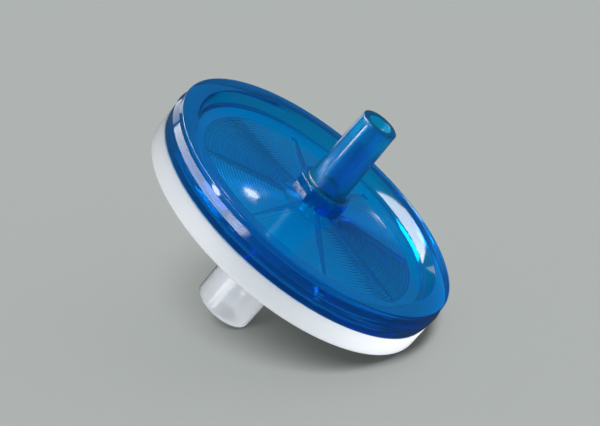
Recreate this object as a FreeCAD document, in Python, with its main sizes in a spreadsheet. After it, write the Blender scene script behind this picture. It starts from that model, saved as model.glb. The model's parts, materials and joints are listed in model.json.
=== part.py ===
"""A syringe filter, 33 mm, lying as it comes to rest: on the edge of its cup and the edge of its inlet.

Three pieces: a clear inlet half with a luer socket, a blue outlet half with a luer tip, and the
membrane welded between them. Each piece is drawn about its own upright axis, with height 0 at the
socket's open end. One placement then leans all three into the resting pose, with the floor at Z = 0.
Lengths are millimetres and angles are degrees.
"""

import FreeCAD, Part
import math
import os
import Sketcher

doc = FreeCAD.newDocument("syringe_filter")

# ---------------------------------------------------------------- driving dimensions
SIZES = {
    # inlet half: socket
    "inlet_length": 10.9,  # from the socket's open end to the cup's underside
    "inlet_end_radius": 3.15,
    "inlet_root_radius": 3.3,
    "inlet_end_round": 0.35,
    "inlet_root_fillet": 0.5,
    "socket_mouth_radius": 2.1425,  # a female luer opens at 4.27 to 4.315 mm across
    "socket_depth": 8.5,
    "mouth_flare": 0.3,
    "luer_lead": 0.75,  # both luers start with a straight wall, up to the taper's gauge plane
    "luer_slope": 0.03,  # then they taper 6 % on the diameter
    "inlet_hole_radius": 1.0,
    # inlet half: cup
    "cup_radius": 16.79,
    "cup_height": 2.43,
    "cup_edge_round": 0.35,
    "inlet_plate": 1.3,
    # membrane and the space round it
    "seat_wall": 2.39,  # from the cup's outside in to the membrane's seat
    "membrane_clearance": 0.1,
    "membrane_thickness": 0.2,
    "clamp_width": 1.4,  # how much of the membrane's edge the halves grip
    # outlet half: rim
    "rim_height": 3.07,
    "rim_step": 0.06,  # how far the rim's foot stands in from the cup
    "bead_swell": 0.17,
    "bead_height": 1.62,
    "ledge_height": 2.45,
    "rim_draft": 0.03,
    "rim_round": 0.12,
    "rim_width": 1.85,
    "wall_slope_width": 0.55,
    "wall_foot_depth": 1.2,
    # outlet half: plate, which rises towards the hub
    "plate_step": 0.3,
    "plate_edge_depth": 1.5,
    "plate_hub_depth": 0.5,
    "outlet_plate": 1.3,
    # outlet half: ridges and channels on the plate's underside
    "ridge_first_radius": 3.3,
    "ridge_pitch": 0.4,
    "ridge_height": 0.25,
    "channel_count": 8,
    "channel_width": 0.8,
    "channel_end_gap": 0.3,
    # outlet half: collar and tip
    "collar_sides": 8,
    "collar_radius": 3.05,
    "collar_rise": 1.2,
    "collar_fillet": 0.3,
    "tip_rise": 10.0,
    "tip_radius": 1.996,
    "tip_round": 0.15,
    "bore_radius": 1.255,
    # resting pose: how far the filter has turned about its own axis
    "turn": 28.3,
}

dims = doc.addObject("Spreadsheet::Sheet", "dims")
for row, (alias, size) in enumerate(SIZES.items(), start=1):
    dims.set(f"A{row}", alias)
    dims.set(f"B{row}", str(size))
    dims.setAlias(f"B{row}", alias)
doc.recompute()


def evaluate(expression):
    """The value of an expression over the sheet, in millimetres or degrees."""
    return float(dims.evalExpression(expression))


# Heights above the socket's open end, as expressions over the sheet.
UNDERSIDE = "dims.inlet_length"
CHAMBER_FLOOR = f"{UNDERSIDE} + dims.inlet_plate"
PARTING = f"{UNDERSIDE} + dims.cup_height"
MEMBRANE_SEAT = f"{PARTING} - dims.membrane_thickness"
RIM_TOP = f"{PARTING} + dims.rim_height"
COLLAR_TOP = f"{RIM_TOP} + dims.collar_rise"
TIP_END = f"{RIM_TOP} + dims.tip_rise"

# Radii that follow the cup's, from the membrane out to the bead and back in to the plate.
SEAT_RADIUS = "dims.cup_radius - dims.seat_wall"
MEMBRANE_RADIUS = f"{SEAT_RADIUS} - dims.membrane_clearance"
FLOW_RADIUS = f"{MEMBRANE_RADIUS} - dims.clamp_width"
RIM_FOOT_RADIUS = "dims.cup_radius - dims.rim_step"
BEAD_RADIUS = f"{RIM_FOOT_RADIUS} + dims.bead_swell"
RIM_RADIUS = f"{RIM_FOOT_RADIUS} - dims.rim_draft"
RIM_INNER_RADIUS = f"{RIM_RADIUS} - dims.rim_width"
WALL_FOOT_RADIUS = f"{RIM_INNER_RADIUS} - dims.wall_slope_width"
PLATE_RADIUS = f"{WALL_FOOT_RADIUS} - dims.plate_step"


def tip_radius_at(height):
    """The luer tip's radius on its taper, which grows with the distance down from its gauge plane."""
    return f"dims.tip_radius + dims.luer_slope * ({TIP_END} - dims.luer_lead - ({height}))"


def plate_top(radius):
    """The plate's conical upper face, which climbs from its edge to the collar."""
    climb = f"(dims.plate_edge_depth - dims.plate_hub_depth) / ({PLATE_RADIUS} - dims.collar_radius)"
    return f"{RIM_TOP} - dims.plate_edge_depth + ({climb}) * ({PLATE_RADIUS} - ({radius}))"


def channel_roof(radius):
    """The channels' roof runs parallel to the upper face, so they deepen towards the bore."""
    return f"{plate_top(radius)} - dims.outlet_plate"


# ---------------------------------------------------------------- drawing
def new_body(name):
    body = doc.addObject("PartDesign::Body", name)
    body.Label = name
    return body


def new_sketch(body, name, role):
    """An empty sketch on the body's own XY_Plane, or on its XZ_Plane with heights going up."""
    sketch = body.newObject("Sketcher::SketchObject", name)
    plane = next(f for f in body.Origin.OriginFeatures if f.Role == role)
    sketch.AttachmentSupport = [(plane, "")]
    sketch.MapMode = "FlatFace"
    return sketch


def bind(sketch, constraint, expression):
    index = sketch.addConstraint(constraint)
    sketch.setExpression(f"Constraints[{index}]", expression)


def draw_outline(sketch, corners):
    """A closed outline with each corner's (across, up) pair of expressions bound to the sheet."""
    places = [FreeCAD.Vector(evaluate(across), evaluate(up), 0) for across, up in corners]
    lines = []
    for here, there in zip(places, places[1:] + places[:1]):
        lines.append(sketch.addGeometry(Part.LineSegment(here, there), False))
    for line, after in zip(lines, lines[1:] + lines[:1]):
        sketch.addConstraint(Sketcher.Constraint("Coincident", line, 2, after, 1))
    for line, place, (across, up) in zip(lines, places, corners):
        bind(sketch, Sketcher.Constraint("DistanceX", -1, 1, line, 1, place.x), across)
        bind(sketch, Sketcher.Constraint("DistanceY", -1, 1, line, 1, place.y), up)


def turned(body, kind, name, sketch):
    """A Revolution or Groove of a sketch, all the way round the body's axis."""
    feature = body.newObject(f"PartDesign::{kind}", name)
    feature.Profile = sketch
    feature.ReferenceAxis = (sketch, ["V_Axis"])
    feature.Angle = 360
    doc.recompute()
    return feature


def round_edges(body, name, radius, *rings):
    """Rounds the ring edges that lie at the given (radius, height) pairs of expressions."""
    wanted = [(evaluate(ring_radius), evaluate(height)) for ring_radius, height in rings]
    base = body.Tip
    chosen = []
    for index, edge in enumerate(base.Shape.Edges, start=1):
        if not isinstance(edge.Curve, Part.Circle):
            continue
        place = (edge.Curve.Radius, edge.Curve.Center.z)
        if any(math.dist(place, ring) < 1e-4 for ring in wanted):
            chosen.append(f"Edge{index}")
    fillet = body.newObject("PartDesign::Fillet", name)
    fillet.Base = (base, chosen)
    fillet.setExpression("Radius", radius)
    doc.recompute()
    return fillet


# ---------------------------------------------------------------- inlet half
def make_inlet_housing():
    """The clear cup with its luer socket, turned in one piece and open towards the membrane."""
    body = new_body("inlet_housing")
    socket_end = "dims.socket_mouth_radius - dims.luer_slope * (dims.socket_depth - dims.luer_lead)"
    flared = "dims.socket_mouth_radius + dims.mouth_flare"
    sketch = new_sketch(body, "inlet_section", "XZ_Plane")
    draw_outline(sketch, [
        (flared, "0"),
        ("dims.inlet_end_radius", "0"),
        ("dims.inlet_root_radius", UNDERSIDE),
        ("dims.cup_radius", UNDERSIDE),
        ("dims.cup_radius", PARTING),
        (SEAT_RADIUS, PARTING),
        (SEAT_RADIUS, MEMBRANE_SEAT),
        (FLOW_RADIUS, MEMBRANE_SEAT),
        (FLOW_RADIUS, CHAMBER_FLOOR),
        ("dims.inlet_hole_radius", CHAMBER_FLOOR),
        ("dims.inlet_hole_radius", "dims.socket_depth"),
        (socket_end, "dims.socket_depth"),
        ("dims.socket_mouth_radius", "dims.luer_lead"),
        ("dims.socket_mouth_radius", "dims.mouth_flare"),
    ])
    turned(body, "Revolution", "inlet_turned", sketch)
    round_edges(body, "inlet_end_edge", "dims.inlet_end_round", ("dims.inlet_end_radius", "0"))
    round_edges(body, "inlet_root", "dims.inlet_root_fillet", ("dims.inlet_root_radius", UNDERSIDE))
    round_edges(body, "cup_edge", "dims.cup_edge_round", ("dims.cup_radius", UNDERSIDE))
    return body


# ---------------------------------------------------------------- outlet half
def make_outlet_housing():
    """The blue rim, plate, collar and luer tip, with ridges and radial channels under the plate."""
    body = new_body("outlet_housing")
    turn_rim_and_plate(body)
    add_collar(body)
    bore_through(body)
    cut_channels(body)
    return body


def ridges():
    """Corners of the ring-shaped ridges, whose crests hold the membrane at the parting plane."""
    room = evaluate(f"{FLOW_RADIUS} - dims.ridge_first_radius")
    corners = [("dims.ridge_first_radius", PARTING)]
    for ridge in range(int(room / evaluate("dims.ridge_pitch") + 1e-6)):
        crest = f"dims.ridge_first_radius + {ridge} * dims.ridge_pitch"
        corners.append((f"{crest} + dims.ridge_pitch / 2", f"{PARTING} + dims.ridge_height"))
        corners.append((f"{crest} + dims.ridge_pitch", PARTING))
    return corners


def turn_rim_and_plate(body):
    """The rim, the ridged plate and the solid tip in one section."""
    hub_top = plate_top("dims.collar_radius")
    sketch = new_sketch(body, "outlet_section", "XZ_Plane")
    draw_outline(sketch, [("0", PARTING)] + ridges() + [
        (RIM_FOOT_RADIUS, PARTING),
        (BEAD_RADIUS, f"{PARTING} + dims.bead_height"),
        (RIM_RADIUS, f"{PARTING} + dims.ledge_height"),
        (RIM_RADIUS, RIM_TOP),
        (RIM_INNER_RADIUS, RIM_TOP),
        (WALL_FOOT_RADIUS, f"{RIM_TOP} - dims.wall_foot_depth"),
        (PLATE_RADIUS, plate_top(PLATE_RADIUS)),
        ("dims.collar_radius", hub_top),
        (tip_radius_at(hub_top), hub_top),
        ("dims.tip_radius", f"{TIP_END} - dims.luer_lead"),
        ("dims.tip_radius", TIP_END),
        ("0", TIP_END),
    ])
    turned(body, "Revolution", "outlet_turned", sketch)
    round_edges(body, "rim_edge", "dims.rim_round", (RIM_RADIUS, RIM_TOP))
    round_edges(body, "tip_edge", "dims.tip_round", ("dims.tip_radius", TIP_END))


def add_collar(body):
    """The many-sided block round the tip's root, its corners over the channels."""
    sketch = new_sketch(body, "collar_outline", "XY_Plane")
    corner = "dims.collar_radius * {}({} * 360 deg / dims.collar_sides)"
    draw_outline(sketch, [
        (corner.format("cos", side), corner.format("sin", side))
        for side in range(int(evaluate("dims.collar_sides")))
    ])
    buried = channel_roof("dims.collar_radius")
    sketch.setExpression("AttachmentOffset.Base.z", buried)
    collar = body.newObject("PartDesign::Pad", "collar")
    collar.Profile = sketch
    collar.setExpression("Length", f"({COLLAR_TOP}) - ({buried})")
    doc.recompute()
    round_edges(body, "tip_root", "dims.collar_fillet", (tip_radius_at(COLLAR_TOP), COLLAR_TOP))


def bore_through(body):
    """The passage from the tip's end down to the membrane."""
    sketch = new_sketch(body, "bore_section", "XZ_Plane")
    draw_outline(sketch, [
        ("0", PARTING),
        ("dims.bore_radius", PARTING),
        ("dims.bore_radius", TIP_END),
        ("0", TIP_END),
    ])
    turned(body, "Groove", "bore", sketch)


def cut_channels(body):
    """Radial channels that cross the ridges and lead to the bore."""
    channel_end = f"{FLOW_RADIUS} - dims.channel_end_gap"
    sketch = new_sketch(body, "channel_section", "XZ_Plane")
    draw_outline(sketch, [
        ("0", PARTING),
        (channel_end, PARTING),
        (channel_end, channel_roof(channel_end)),
        ("0", channel_roof("0")),
    ])
    channel = body.newObject("PartDesign::Pocket", "channel")
    channel.Profile = sketch
    channel.SideType = "Symmetric"
    channel.setExpression("Length", "dims.channel_width")
    doc.recompute()
    channels = body.newObject("PartDesign::PolarPattern", "channels")
    channels.Originals = [channel]
    channels.Axis = (sketch, ["V_Axis"])
    channels.Angle = 360
    channels.setExpression("Occurrences", "dims.channel_count")
    body.Tip = channels
    doc.recompute()


# ---------------------------------------------------------------- membrane
def make_membrane():
    """The plain disc that the two halves clamp at its edge."""
    body = new_body("filter_membrane")
    sketch = new_sketch(body, "membrane_section", "XZ_Plane")
    draw_outline(sketch, [
        ("0", MEMBRANE_SEAT),
        (MEMBRANE_RADIUS, MEMBRANE_SEAT),
        (MEMBRANE_RADIUS, PARTING),
        ("0", PARTING),
    ])
    turned(body, "Revolution", "membrane_disc", sketch)
    return body


# ---------------------------------------------------------------- resting pose
def resting_placement(shapes):
    """Leans the axis towards +X until the rounded cup edge and socket end both touch the floor."""
    end_round = evaluate("dims.inlet_end_round")
    cup_round = evaluate("dims.cup_edge_round")
    across = evaluate("dims.cup_radius - dims.inlet_end_radius") - (cup_round - end_round)
    up = evaluate(UNDERSIDE) + (cup_round - end_round)
    lean = math.atan2(up, across) - math.asin((cup_round - end_round) / math.hypot(across, up))
    turn = FreeCAD.Rotation(FreeCAD.Vector(0, 0, 1), evaluate("dims.turn"))
    tilt = FreeCAD.Rotation(FreeCAD.Vector(0, 1, 0), math.degrees(lean))
    leaning = FreeCAD.Placement(FreeCAD.Vector(0, 0, 0), tilt * turn)
    whole = Part.Compound([shape.transformed(leaning.toMatrix()) for shape in shapes])
    box = whole.optimalBoundingBox(False, False)
    leaning.Base = FreeCAD.Vector(-box.Center.x, -box.Center.y, -box.ZMin)
    return leaning


sub_parts = [make_inlet_housing(), make_outlet_housing(), make_membrane()]
pose = resting_placement([body.Shape for body in sub_parts])
for body in sub_parts:
    body.Placement = pose
doc.recompute()

# ---------------------------------------------------------------- checks and files
for item in doc.Objects:
    faults = {"Invalid", "Error"}.intersection(item.State)
    assert not faults, f"{item.Name}: {item.State}"
os.makedirs("parts", exist_ok=True)
for body in sub_parts:
    shape = body.Shape
    assert not shape.isNull() and shape.isValid() and len(shape.Solids) == 1, body.Label
    print(f"{body.Label}: {shape.Volume:.2f} mm3, {len(shape.Faces)} faces, one solid")
for body in sub_parts:
    body.Shape.exportStep(f"parts/{body.Label}.step")
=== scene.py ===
"""A 33 mm syringe filter: a clear inlet half, a blue outlet half and the membrane between them."""
import json
import math
import bmesh
import bpy
from mathutils import Matrix, Vector


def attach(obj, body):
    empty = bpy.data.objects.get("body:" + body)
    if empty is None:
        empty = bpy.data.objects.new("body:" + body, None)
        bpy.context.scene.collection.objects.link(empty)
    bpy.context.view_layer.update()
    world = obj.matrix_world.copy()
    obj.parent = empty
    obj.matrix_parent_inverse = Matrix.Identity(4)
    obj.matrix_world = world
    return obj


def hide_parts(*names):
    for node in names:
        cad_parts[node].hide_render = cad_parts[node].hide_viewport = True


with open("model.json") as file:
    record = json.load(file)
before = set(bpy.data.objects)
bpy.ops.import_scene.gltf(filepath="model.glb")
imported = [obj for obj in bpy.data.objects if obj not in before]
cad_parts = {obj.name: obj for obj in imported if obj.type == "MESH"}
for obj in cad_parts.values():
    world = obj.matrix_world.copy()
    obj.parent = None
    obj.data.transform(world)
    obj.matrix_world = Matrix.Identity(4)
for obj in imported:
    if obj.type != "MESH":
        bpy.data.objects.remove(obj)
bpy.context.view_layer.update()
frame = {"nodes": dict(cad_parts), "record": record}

# ---------------------------------------------------------------- the filter's axis
# The filter lies on the edge of its cup and the end of its socket, so its axis leans towards +X.
# Sizes below are millimetres along and round that axis, and height 0 is the top of the blue rim.
MM = 0.001
TIP_RISE = 10.0  # the luer tip's end above the rim
PIN_TO_TIP_END = 0.45  # from the middle of the tip's straight wall to its end
TURN = math.radians(28.3)  # from downhill to the nearest channel

outlet_mount = next(m for m in frame["record"]["mounts"] if m["name"] == "outlet_luer")
axis = Vector(outlet_mount["axis"]).normalized()
tip_end = Vector(outlet_mount["pos_m"]) + axis * PIN_TO_TIP_END * MM
rim_centre = tip_end - axis * TIP_RISE * MM
lean = math.atan2(axis.x, axis.z)
pose = (
    Matrix.Translation(rim_centre)
    @ Matrix.Rotation(lean, 4, "Y")
    @ Matrix.Rotation(TURN, 4, "Z")
    @ Matrix.Scale(MM, 4)
)

# ---------------------------------------------------------------- outlet half
# The blue half carries the luer tip on an eight-sided collar, in the middle of a plate with a rim.
# It is injection-moulded in one piece from clear-tinted plastic and welded to the clear half.
# Under the plate, fine ring-shaped ridges and eight radial channels drain the membrane.
PARTING = -3.07
WELD_GAP = 0.02  # each half's face stands this far from the parting plane, so that light sees both
SEAT_RADIUS = 14.4
FLOW_RADIUS = 12.9
BEAD_FOOT_RADIUS = 16.73
BEAD_RADIUS = 16.9
BEAD_TOP = -1.45
RIM_RADIUS = 16.7
LEDGE_TOP = -0.62
RIM_INNER_RADIUS = 14.85
WALL_FOOT = -1.2
WALL_FOOT_RADIUS = 14.4
BORE_RADIUS = 1.255
TIP_RADIUS = 1.996
TIP_ROUND = 0.15
LUER_LEAD = 0.75
LUER_SLOPE = 0.03
COLLAR_RISE = 1.2
COLLAR_RADIUS = 3.05
COLLAR_FILLET = 0.3
COLLAR_EDGE = 0.06
COLLAR_CORNER = 0.035  # how much the rounding takes off the collar's upright edges
PLATE_RADIUS = 14.0
PLATE_FLAT_RADIUS = 13.5  # a ring of points here keeps the wall's foot out of the plate's shading
PLATE_EDGE_DEPTH = 1.5
PLATE_HUB_DEPTH = 0.5
PLATE_THICKNESS = 1.3
RIDGE_FIRST_RADIUS = 3.3
RIDGE_PITCH = 0.4
RIDGE_HEIGHT = 0.25
RIDGE_ROUNDING = 0.06  # the share of its height that a ridge's crest and root each lose
CHANNELS = 8
CHANNEL_WIDTH = 0.8
CHANNEL_END_RADIUS = 12.6
CHANNEL_COLUMNS = 6  # faces across a channel
SECTOR_COLUMNS = 32  # faces round one eighth of the filter
MERGE_DISTANCE = 0.0002  # points nearer than this become one
SHARP_EDGE = math.radians(30)


def rounded(corners, steps=4):
    """A section's (radius, height, rounding) corners as points, with an arc at each rounded one."""
    points = []
    for index, (radius, height, rounding) in enumerate(corners):
        corner = Vector((radius, height))
        if not rounding:
            points.append((radius, height))
            continue
        back = (Vector(corners[index - 1][:2]) - corner).normalized()
        on = (Vector(corners[index + 1][:2]) - corner).normalized()
        half = back.angle(on) / 2
        reach = rounding / math.tan(half)
        centre = corner + (back + on).normalized() * rounding / math.sin(half)
        start = corner + back * reach - centre
        end = corner + on * reach - centre
        for step in range(steps + 1):
            share = step / steps
            swing = start.angle_signed(end) * share
            point = centre + Matrix.Rotation(-swing, 2) @ start
            points.append((point.x, point.y))
    return points


def column_angles(half_channel):
    """One angle per column: across each channel, then on to the next one."""
    eighth = math.tau / CHANNELS
    between_columns = SECTOR_COLUMNS - CHANNEL_COLUMNS
    angles = []
    for sector in range(CHANNELS):
        for column in range(CHANNEL_COLUMNS + 1):
            angles.append(sector * eighth + half_channel * (2 * column / CHANNEL_COLUMNS - 1))
        for column in range(between_columns + 1):
            share = column / between_columns
            angles.append(sector * eighth + half_channel + (eighth - 2 * half_channel) * share)
    return angles


EVEN_HALF = math.tau / CHANNELS * CHANNEL_COLUMNS / SECTOR_COLUMNS / 2
even_angles = column_angles(EVEN_HALF)


def ring(radius, height, angles=even_angles):
    return [(radius * math.cos(a), radius * math.sin(a), height) for a in angles]


def turned_mesh(name, rings):
    """A closed smooth-shaded solid through rings of points, the last joined to the first."""
    solid = bmesh.new()
    rows = [[solid.verts.new(pose @ Vector(point)) for point in points] for points in rings]
    for row, next_row in zip(rows, rows[1:] + rows[:1]):
        for column in range(len(row)):
            after = (column + 1) % len(row)
            solid.faces.new((row[column], row[after], next_row[after], next_row[column]))
    bmesh.ops.remove_doubles(solid, verts=solid.verts, dist=MERGE_DISTANCE * MM)
    bmesh.ops.recalc_face_normals(solid, faces=solid.faces)
    for face in solid.faces:
        face.smooth = True
    mesh = bpy.data.meshes.new(name)
    solid.to_mesh(mesh)
    solid.free()
    mesh.set_sharp_from_angle(angle=SHARP_EDGE)
    piece = bpy.data.objects.new(name, mesh)
    bpy.context.scene.collection.objects.link(piece)
    return piece


def plate_top(radius):
    climb = (PLATE_EDGE_DEPTH - PLATE_HUB_DEPTH) / (PLATE_RADIUS - COLLAR_RADIUS)
    return climb * (PLATE_RADIUS - radius) - PLATE_EDGE_DEPTH


def channel_roof(radius):
    return plate_top(radius) - PLATE_THICKNESS


def ridge_height(radius):
    """The V-shaped ridges' height at a radius, with their crests and roots a little rounded."""
    if not RIDGE_FIRST_RADIUS < radius < FLOW_RADIUS:
        return 0.0
    phase = (radius - RIDGE_FIRST_RADIUS) / RIDGE_PITCH % 1.0
    wave = 1 - abs(2 * phase - 1)
    return RIDGE_HEIGHT * min(max(wave, RIDGE_ROUNDING), 1 - RIDGE_ROUNDING)


def underside_ring(radius, channel_height, ridge_top):
    """A ring of points at one height in the channels and at another between them."""
    half_channel = math.asin(CHANNEL_WIDTH / 2 / min(radius, CHANNEL_END_RADIUS))
    points = []
    for index, angle in enumerate(column_angles(half_channel)):
        in_channel = index % (SECTOR_COLUMNS + 2) <= CHANNEL_COLUMNS
        height = channel_height if in_channel else ridge_top
        points.append((radius * math.cos(angle), radius * math.sin(angle), height))
    return points


def underside_rings():
    """From the bore's mouth out over the ridges to the edge of the flow area."""
    foot = PARTING + WELD_GAP
    radii = [BORE_RADIUS, 2.0, 2.7]
    for ridge in range(round((FLOW_RADIUS - RIDGE_FIRST_RADIUS) / RIDGE_PITCH)):
        start = RIDGE_FIRST_RADIUS + ridge * RIDGE_PITCH
        radii += [start + RIDGE_PITCH * share for share in (0.0, 0.1, 0.4, 0.5, 0.6, 0.9)]
    radii.append(FLOW_RADIUS)
    end_top = foot + ridge_height(CHANNEL_END_RADIUS)
    end_roof = channel_roof(CHANNEL_END_RADIUS)
    rings = []
    for radius in radii:
        if radius < CHANNEL_END_RADIUS:
            rings.append(underside_ring(radius, channel_roof(radius), foot + ridge_height(radius)))
    rings.append(underside_ring(CHANNEL_END_RADIUS, end_roof, end_top))
    rings.append(underside_ring(CHANNEL_END_RADIUS, end_top, end_top))
    for radius in radii:
        if radius > CHANNEL_END_RADIUS:
            height = foot + ridge_height(radius)
            rings.append(underside_ring(radius, height, height))
    return rings


def collar_ring(height, inset=0.0):
    """The eight-sided outline, with its upright edges slightly rounded."""
    eighth = math.tau / CHANNELS
    apothem = COLLAR_RADIUS * math.cos(eighth / 2)
    points = []
    for angle in even_angles:
        off_flat = angle % eighth - eighth / 2
        radius = min(apothem / math.cos(off_flat), COLLAR_RADIUS - COLLAR_CORNER) - inset
        points.append((radius * math.cos(angle), radius * math.sin(angle), height))
    return points


def tip_radius(height):
    return TIP_RADIUS + LUER_SLOPE * max(TIP_RISE - LUER_LEAD - height, 0.0)


rim_section = rounded([
    (SEAT_RADIUS, PARTING + WELD_GAP, 0),
    (BEAD_FOOT_RADIUS, PARTING + WELD_GAP, 0.06),
    (BEAD_RADIUS, BEAD_TOP, 0.1),
    (RIM_RADIUS, LEDGE_TOP, 0.1),
    (RIM_RADIUS, 0.0, 0.12),
    (RIM_INNER_RADIUS, 0.0, 0.1),
    (WALL_FOOT_RADIUS, WALL_FOOT, 0.15),
    (PLATE_RADIUS, -PLATE_EDGE_DEPTH, 0.4),
    (PLATE_FLAT_RADIUS, plate_top(PLATE_FLAT_RADIUS), 0),
    (COLLAR_RADIUS, -PLATE_HUB_DEPTH, 0),
])
tip_section = rounded([
    (COLLAR_RADIUS, COLLAR_RISE, 0),
    (tip_radius(COLLAR_RISE), COLLAR_RISE, COLLAR_FILLET),
    (TIP_RADIUS, TIP_RISE - LUER_LEAD, 0),
    (TIP_RADIUS, TIP_RISE, TIP_ROUND),
    (BORE_RADIUS, TIP_RISE, 0.06),
    (BORE_RADIUS, 0.0, 0),
])[1:-1]
outlet_rings = underside_rings()
outlet_rings += [ring(radius, height) for radius, height in rim_section]
outlet_rings += [
    collar_ring(-PLATE_HUB_DEPTH),
    collar_ring(COLLAR_RISE - COLLAR_EDGE),
    collar_ring(COLLAR_RISE - COLLAR_EDGE * 0.3, COLLAR_EDGE * 0.3),
    collar_ring(COLLAR_RISE, COLLAR_EDGE),
]
outlet_rings += [ring(radius, height) for radius, height in tip_section]
bore_end_half = math.asin(CHANNEL_WIDTH / 2 / BORE_RADIUS)
bore_top = TIP_RISE - 0.1
bore_steps = 8
for step in range(1, bore_steps + 1):
    share = step / bore_steps
    height = bore_top + (channel_roof(BORE_RADIUS) - bore_top) * share
    half = EVEN_HALF + (bore_end_half - EVEN_HALF) * share
    outlet_rings.append(ring(BORE_RADIUS, height, column_angles(half)))
outlet = turned_mesh("blue_outlet_half", outlet_rings)
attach(outlet, "root")
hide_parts("outlet_housing")


def moulding_marks():
    """A node group: the faint haze and ripple that a mould leaves on clear plastic."""
    group = bpy.data.node_groups.new("moulding_marks", "ShaderNodeTree")
    group.interface.new_socket("Haze", in_out="OUTPUT", socket_type="NodeSocketFloat")
    group.interface.new_socket("Ripple", in_out="OUTPUT", socket_type="NodeSocketFloat")
    group.interface.new_socket("Grain Size", in_out="INPUT", socket_type="NodeSocketFloat")
    inputs = group.nodes.new("NodeGroupInput")
    outputs = group.nodes.new("NodeGroupOutput")
    place = group.nodes.new("ShaderNodeTexCoord")
    haze = group.nodes.new("ShaderNodeTexNoise")
    haze.inputs["Detail"].default_value = 4.0
    ripple = group.nodes.new("ShaderNodeTexNoise")
    ripple.inputs["Scale"].default_value = 350.0
    ripple.inputs["Detail"].default_value = 1.0
    group.links.new(place.outputs["Object"], haze.inputs["Vector"])
    group.links.new(place.outputs["Object"], ripple.inputs["Vector"])
    group.links.new(inputs.outputs["Grain Size"], haze.inputs["Scale"])
    group.links.new(haze.outputs["Fac"], outputs.inputs["Haze"])
    group.links.new(ripple.outputs["Fac"], outputs.inputs["Ripple"])
    return group


marks_group = moulding_marks()


def moulded_plastic(name, colour, clearness, roughness, coat, near_share, far_share):
    """Glossy moulded plastic, part clear and part cloudy, that passes a share of the lamps' light.

    near_share of it reaches what is just behind the plastic, and far_share what is far behind.
    """
    material = bpy.data.materials.new(name)
    material.use_nodes = True
    nodes, links = material.node_tree.nodes, material.node_tree.links
    nodes.clear()
    output = nodes.new("ShaderNodeOutputMaterial")
    body = nodes.new("ShaderNodeBsdfPrincipled")
    body.name = "body"
    body.inputs["Base Color"].default_value = (*colour, 1)
    body.inputs["IOR"].default_value = 1.5
    body.inputs["Transmission Weight"].default_value = clearness
    body.inputs["Coat Weight"].default_value = coat
    body.inputs["Coat Roughness"].default_value = 0.03
    marks = nodes.new("ShaderNodeGroup")
    marks.node_tree = marks_group
    marks.inputs["Grain Size"].default_value = 900.0
    haze = nodes.new("ShaderNodeMapRange")
    haze.inputs["From Min"].default_value = 0.35
    haze.inputs["From Max"].default_value = 0.75
    haze.inputs["To Min"].default_value = roughness[0]
    haze.inputs["To Max"].default_value = roughness[1]
    ripple = nodes.new("ShaderNodeBump")
    ripple.inputs["Strength"].default_value = 0.05
    ripple.inputs["Distance"].default_value = 0.0002
    links.new(marks.outputs["Haze"], haze.inputs["Value"])
    links.new(haze.outputs["Result"], body.inputs["Roughness"])
    links.new(marks.outputs["Ripple"], ripple.inputs["Height"])
    links.new(ripple.outputs["Normal"], body.inputs["Normal"])
    clear = nodes.new("ShaderNodeBsdfTransparent")
    path = nodes.new("ShaderNodeLightPath")
    share = nodes.new("ShaderNodeMapRange")
    share.inputs["From Min"].default_value = 4 * MM
    share.inputs["From Max"].default_value = 8 * MM
    share.inputs["To Min"].default_value = near_share
    share.inputs["To Max"].default_value = far_share
    links.new(path.outputs["Ray Length"], share.inputs["Value"])
    links.new(share.outputs["Result"], clear.inputs["Color"])
    either = nodes.new("ShaderNodeMixShader")
    links.new(path.outputs["Is Shadow Ray"], either.inputs["Fac"])
    links.new(body.outputs["BSDF"], either.inputs[1])
    links.new(clear.outputs["BSDF"], either.inputs[2])
    links.new(either.outputs["Shader"], output.inputs["Surface"])
    return material


blue_plastic = moulded_plastic(
    "blue_plastic", colour=(0.003, 0.52, 0.88), clearness=0.87, roughness=(0.04, 0.08),
    coat=0.0, near_share=0.95, far_share=0.95,
)
# The tube gets a brighter copy of the blue plastic, with a lighter tint: painted light on the tube.
# The whole blue half is one moulding of one plastic; the copy's higher roughness spreads its
# highlight.
brightened_tip_plastic = moulded_plastic(
    "blue_plastic_tip_brightened", colour=(0.004, 0.54, 1.0), clearness=0.83, roughness=(0.12, 0.16),
    coat=0.0, near_share=0.95, far_share=0.95,
)
# The tube's thinner absorption (700 against 1000) is also painted light that lightens it.
for tinted, density in ((blue_plastic, 1000.0), (brightened_tip_plastic, 700.0)):
    depth = tinted.node_tree.nodes.new("ShaderNodeVolumeAbsorption")
    depth.inputs["Color"].default_value = (0.6, 0.83, 0.96, 1)
    depth.inputs["Density"].default_value = density
    output = tinted.node_tree.nodes["Material Output"]
    tinted.node_tree.links.new(depth.outputs["Volume"], output.inputs["Volume"])
    outlet.data.materials.append(tinted)
to_filter = pose.inverted()
# The tube's faces above the collar take the brightened copy: painted light.
TIP_SLOT = 1
ABOVE_COLLAR = COLLAR_RISE + 0.01
for face in outlet.data.polygons:
    middle = to_filter @ face.center
    if math.hypot(middle.x, middle.y) < COLLAR_RADIUS and middle.z > ABOVE_COLLAR:
        face.material_index = TIP_SLOT

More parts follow.
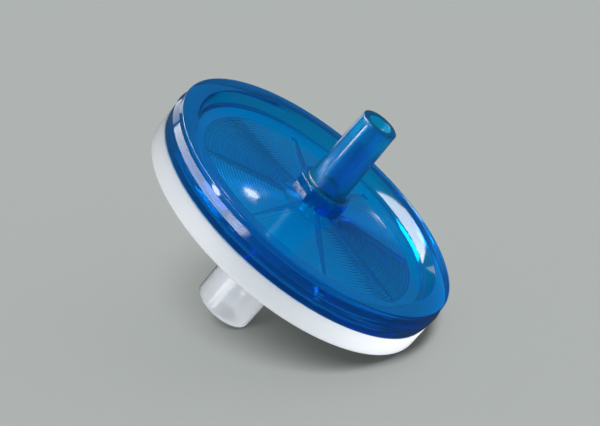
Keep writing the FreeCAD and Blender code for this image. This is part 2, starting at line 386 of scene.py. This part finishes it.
# ---------------------------------------------------------------- inlet half
# The clear half is a shallow cup with a female luer socket under its middle.
# It is moulded in one piece from a slightly milky clear plastic, open towards the membrane.
UNDERSIDE = -5.5
CUP_RADIUS = 16.79
CUP_FLOOR = UNDERSIDE + 1.3
MEMBRANE_SEAT = -3.27
INNER_HOLE_RADIUS = 1.0
SOCKET_END = -16.4
SOCKET_FLOOR = SOCKET_END + 8.5
SOCKET_MOUTH_RADIUS = 2.1425
MOUTH_FLARE = 0.3
TUBE_ROOT_RADIUS = 3.3
TUBE_END_RADIUS = 3.15
TUBE_FACE_RADIUS = 2.7  # a ring of points on the flat of the tube's end face
CLEARER_RADIUS = 3.9  # the plastic is clearer inside this radius: on the tube and its fillet
socket_floor_radius = SOCKET_MOUTH_RADIUS - LUER_SLOPE * (SOCKET_FLOOR - SOCKET_END - LUER_LEAD)
inlet_section = rounded([
    (TUBE_FACE_RADIUS, SOCKET_END, 0),
    (TUBE_END_RADIUS, SOCKET_END, 0.35),
    (TUBE_ROOT_RADIUS, UNDERSIDE, 0.5),
    (CUP_RADIUS, UNDERSIDE, 0.35),
    (CUP_RADIUS, PARTING - WELD_GAP, 0.08),
    (SEAT_RADIUS, PARTING - WELD_GAP, 0),
    (SEAT_RADIUS, MEMBRANE_SEAT - WELD_GAP, 0),
    (FLOW_RADIUS, MEMBRANE_SEAT - WELD_GAP, 0.05),
    (FLOW_RADIUS, CUP_FLOOR, 0.2),
    (INNER_HOLE_RADIUS, CUP_FLOOR, 0.1),
    (INNER_HOLE_RADIUS, SOCKET_FLOOR, 0),
    (socket_floor_radius, SOCKET_FLOOR, 0.1),
    (SOCKET_MOUTH_RADIUS, SOCKET_END + LUER_LEAD, 0),
    (SOCKET_MOUTH_RADIUS, SOCKET_END + MOUTH_FLARE, 0.1),
    (SOCKET_MOUTH_RADIUS + MOUTH_FLARE, SOCKET_END, 0),
])
inlet = turned_mesh("clear_inlet_half", [ring(radius, height) for radius, height in inlet_section])
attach(inlet, "root")
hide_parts("inlet_housing")
frosted_plastic = moulded_plastic(
    "clear_plastic_frosted", colour=(0.86, 0.9, 1.0), clearness=0.3, roughness=(0.3, 0.45),
    coat=0.2, near_share=0.2, far_share=0.05,
)
frosted = frosted_plastic.node_tree.nodes["body"]
frosted.inputs["Subsurface Weight"].default_value = 0.6
frosted.inputs["Subsurface Radius"].default_value = (1.0, 1.0, 1.0)
frosted.inputs["Subsurface Scale"].default_value = 0.003
clear_plastic = moulded_plastic(
    "clear_plastic", colour=(0.91, 0.94, 1.0), clearness=0.65, roughness=(0.06, 0.12),
    coat=1.0, near_share=0.5, far_share=0.05,
)
inlet.data.materials.append(frosted_plastic)
inlet.data.materials.append(clear_plastic)
SOCKET_SLOT = 1
BELOW_CUP = UNDERSIDE + 0.01
for face in inlet.data.polygons:
    middle = to_filter @ face.center
    if math.hypot(middle.x, middle.y) < CLEARER_RADIUS and middle.z < BELOW_CUP:
        face.material_index = SOCKET_SLOT

# ---------------------------------------------------------------- membrane
# The membrane is a thin white porous sheet, clamped at its edge between the two halves.
membrane_material = bpy.data.materials.new("membrane")
membrane_material.use_nodes = True
nodes, links = membrane_material.node_tree.nodes, membrane_material.node_tree.links
sheet = nodes["Principled BSDF"]
sheet.inputs["Roughness"].default_value = 0.9
sheet.inputs["IOR"].default_value = 1.35
place = nodes.new("ShaderNodeTexCoord")
pores = nodes.new("ShaderNodeTexNoise")
pores.inputs["Scale"].default_value = 4000.0
pores.inputs["Detail"].default_value = 3.0
tint = nodes.new("ShaderNodeValToRGB")
tint.color_ramp.elements[0].position = 0.3
tint.color_ramp.elements[0].color = (0.82, 0.82, 0.81, 1)
tint.color_ramp.elements[1].position = 0.7
tint.color_ramp.elements[1].color = (0.9, 0.9, 0.89, 1)
weave = nodes.new("ShaderNodeBump")
weave.inputs["Strength"].default_value = 0.2
weave.inputs["Distance"].default_value = 0.00002
links.new(place.outputs["Object"], pores.inputs["Vector"])
links.new(pores.outputs["Fac"], tint.inputs["Fac"])
links.new(tint.outputs["Color"], sheet.inputs["Base Color"])
links.new(pores.outputs["Fac"], weave.inputs["Height"])
links.new(weave.outputs["Normal"], sheet.inputs["Normal"])
for membrane_slot in frame["nodes"]["filter_membrane"].material_slots:
    membrane_slot.material = membrane_material

# ---------------------------------------------------------------- floor
# A plain, even, pale grey surface that runs well past every side of the view.
# In mirror reflections it is nearly black, so that the glossy plastic stays free of a grey veil.
FLOOR_COLOUR = (0.429, 0.456, 0.445)
MIRRORED_FLOOR_COLOUR = (0.05, 0.055, 0.06)
floor_mesh = bpy.data.meshes.new("floor")
reach = 6.0
floor_mesh.from_pydata(
    [(-reach, -reach, 0), (reach, -reach, 0), (reach, reach, 0), (-reach, reach, 0)],
    [],
    [(0, 1, 2, 3)],
)
floor = bpy.data.objects.new("floor", floor_mesh)
bpy.context.scene.collection.objects.link(floor)
floor_material = bpy.data.materials.new("floor_paper")
floor_material.use_nodes = True
paper = floor_material.node_tree.nodes["Principled BSDF"]
floor_nodes, links = floor_material.node_tree.nodes, floor_material.node_tree.links
path = floor_nodes.new("ShaderNodeLightPath")
mirrored = floor_nodes.new("ShaderNodeMath")
mirrored.operation = "SUBTRACT"
mirrored.use_clamp = True
shade = floor_nodes.new("ShaderNodeMix")
shade.data_type = "RGBA"
shade.inputs["A"].default_value = (*FLOOR_COLOUR, 1)
shade.inputs["B"].default_value = (*MIRRORED_FLOOR_COLOUR, 1)
links.new(path.outputs["Is Glossy Ray"], mirrored.inputs[0])
links.new(path.outputs["Is Transmission Ray"], mirrored.inputs[1])
links.new(mirrored.outputs["Value"], shade.inputs["Factor"])
links.new(shade.outputs["Result"], paper.inputs["Base Color"])
paper.inputs["Roughness"].default_value = 1.0
paper.inputs["Specular IOR Level"].default_value = 0.0
floor_mesh.materials.append(floor_material)

# ---------------------------------------------------------------- light
# Long strips and small lamps at the filter's left and behind it are mirrored in its blue half.
# Two softboxes fill the clear cup, one low at the left and one at the right under the floor, and
# one overhead lights the blue half and the membrane. Two soft suns light the floor alone.
DIM = 0.11  # the strength of the room, in the floor's colour, as a light
FULL = 1.0  # its strength where the camera sees it, also through the plastic
LAMP_DISTANCE = 1.0  # in metres
world = bpy.data.worlds.new("room")
world.use_nodes = True
bpy.context.scene.world = world
room_nodes, links = world.node_tree.nodes, world.node_tree.links
room_light = room_nodes["Background"]
room_light.inputs["Color"].default_value = (*FLOOR_COLOUR, 1)
path = room_nodes.new("ShaderNodeLightPath")
seen = room_nodes.new("ShaderNodeMath")
seen.operation = "ADD"
strength = room_nodes.new("ShaderNodeMapRange")
strength.inputs["To Min"].default_value = DIM
strength.inputs["To Max"].default_value = FULL
links.new(path.outputs["Is Camera Ray"], seen.inputs[0])
links.new(path.outputs["Is Transmission Ray"], seen.inputs[1])
links.new(seen.outputs["Value"], strength.inputs["Value"])
links.new(strength.outputs["Result"], room_light.inputs["Strength"])


def area_lamp(name, shape, azimuth, elevation, roll, width, height, brightness):
    """An even area lamp at a bearing from the filter, pointed at it. Its sizes are in metres."""
    lamp = bpy.data.lights.new(name, "AREA")
    lamp.shape = shape
    lamp.size = width
    lamp.size_y = height
    lamp.energy = brightness * math.pi * width * height
    holder = bpy.data.objects.new(name, lamp)
    bearing, rise = math.radians(azimuth), math.radians(elevation)
    way = Vector((
        math.cos(rise) * math.cos(bearing),
        math.cos(rise) * math.sin(bearing),
        math.sin(rise),
    ))
    holder.location = rim_centre + way * LAMP_DISTANCE
    facing = way.to_track_quat("Z", "Y").to_matrix()
    holder.rotation_euler = (facing @ Matrix.Rotation(math.radians(roll), 3, "Z")).to_euler()
    bpy.context.scene.collection.objects.link(holder)
    return holder


def floor_sun(name, azimuth, elevation, angle, strength):
    """A soft sun that lights the floor alone, and evenly."""
    lamp = bpy.data.lights.new(name, "SUN")
    lamp.energy = strength
    lamp.angle = math.radians(angle)
    holder = bpy.data.objects.new(name, lamp)
    holder.rotation_euler = (0, math.radians(90 - elevation), math.radians(azimuth))
    bpy.context.scene.collection.objects.link(holder)
    return holder


def light_group(name, pieces):
    """A collection that a lamp's light linking names: what it lights, or what casts its shadows."""
    group = bpy.data.collections.new(name)
    for piece in pieces:
        group.objects.link(piece)
    return group


membrane_node = frame["nodes"]["filter_membrane"]
filter_pieces = light_group("filter_pieces", (outlet, inlet, membrane_node))
cup_only = light_group("cup_only", (inlet,))
blue_and_membrane = light_group("blue_and_membrane", (outlet, membrane_node))
floor_only = light_group("floor_only", (floor,))
shadow_casters = light_group("shadow_casters", (inlet, membrane_node))
floor_suns = (
    floor_sun("shadow_sun", 270, 46, 30, 2.68),
    floor_sun("sky_sun", 0, 90, 160, 1.05),
)
for holder in floor_suns:
    holder.light_linking.receiver_collection = floor_only
    holder.light_linking.blocker_collection = shadow_casters
for piece in (outlet, inlet):
    piece.visible_diffuse = False  # no light bounces from the halves to the floor
top_softbox = area_lamp("top_softbox", "RECTANGLE", 200, 76, 0, 0.5, 0.5, 15.0)
top_softbox.light_linking.receiver_collection = blue_and_membrane
top_softbox.visible_glossy = False
strips = (
    area_lamp("high_strip", "ELLIPSE", 200, 48.5, 3, 2.2, 0.28, 10.0),
    area_lamp("high_strip_top", "ELLIPSE", 130, 24, 40, 0.6, 0.3, 1.5),
    area_lamp("side_strip", "ELLIPSE", 200, 32, -6, 3.2, 0.26, 4.2),
    area_lamp("side_strip_top", "ELLIPSE", 133, 11, 55, 0.7, 0.22, 1.0),
    area_lamp("side_strip_end", "ELLIPSE", 251, 17, -32, 0.4, 0.12, 2.0),
    area_lamp("small_strip", "ELLIPSE", 215, 14, 0, 0.15, 0.15, 13.0),
    area_lamp("left_glint_strip", "ELLIPSE", 73, 26.6, 0, 0.02, 0.014, 5.5),
    area_lamp("right_glint_strip", "ELLIPSE", 79, 9, 0, 0.03, 0.02, 4.0),
)
for holder in strips:
    holder.light_linking.receiver_collection = blue_and_membrane
    holder.visible_diffuse = False
    holder.visible_transmission = False
fills = (
    area_lamp("left_softbox", "RECTANGLE", 226, 8, 0, 0.8, 0.8, 5.8),
    area_lamp("right_softbox", "RECTANGLE", 12, -20, 0, 0.8, 0.8, 12.5),
)
for holder in fills:
    holder.light_linking.receiver_collection = cup_only
    holder.light_linking.blocker_collection = filter_pieces
    holder.visible_glossy = False

# ---------------------------------------------------------------- camera
# A long lens from the front, a little to the right and above.
CAMERA_FROM_RIM = Vector((60.2, -221.4, 70.0))
CAMERA_LOOK = Vector((-0.258, 0.9184, -0.299))
camera_data = bpy.data.cameras.new("camera")
camera_data.lens = 144.0
camera_data.sensor_width = 36.0
camera = bpy.data.objects.new("camera", camera_data)
camera.location = rim_centre + CAMERA_FROM_RIM * MM
camera.rotation_euler = CAMERA_LOOK.to_track_quat("-Z", "Y").to_euler()
bpy.context.scene.collection.objects.link(camera)
bpy.context.scene.camera = camera
bpy.context.scene.view_settings.view_transform = "Standard"
